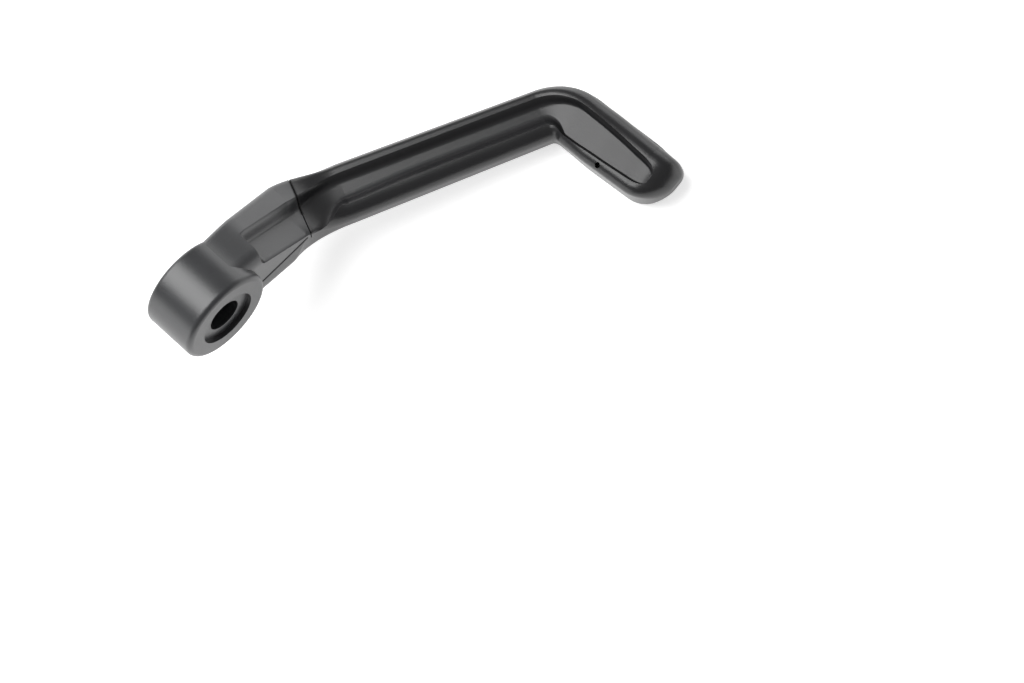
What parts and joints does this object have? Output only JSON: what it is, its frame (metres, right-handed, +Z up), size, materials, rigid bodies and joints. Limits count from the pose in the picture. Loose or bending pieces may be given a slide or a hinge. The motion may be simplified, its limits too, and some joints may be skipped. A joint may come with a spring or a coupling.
{
  "type": "brake lever guard",
  "caption": "Slim hooked guard for a motorbike's handlebar end: an eye with a cap, a stepped arm, a channelled bar that runs in front of the lever, and an inturned tip with an oval insert.",
  "frame": {"origin": "on the bore axis, in the plane of the inner seat face that meets the handlebar end", "axes": "+X outward along the handlebar axis, -Y forward past the lever, +Z up"},
  "size_m": [0.0936, 0.1451, 0.07],
  "materials": {
    "arm_metal": "satin black, anodised",
    "bar_shell": "satin black, fine grain",
    "cap_plastic": "matte black",
    "insert_plastic": "matte black",
    "screw_steel": "black oxide"
  },
  "bodies": {
    "root": {"mount_arm": "arm_metal", "guard_bar": "bar_shell", "end_cap": "cap_plastic", "tip_insert": "insert_plastic", "tongue_screws": "screw_steel"}
  },
  "joints": []
}
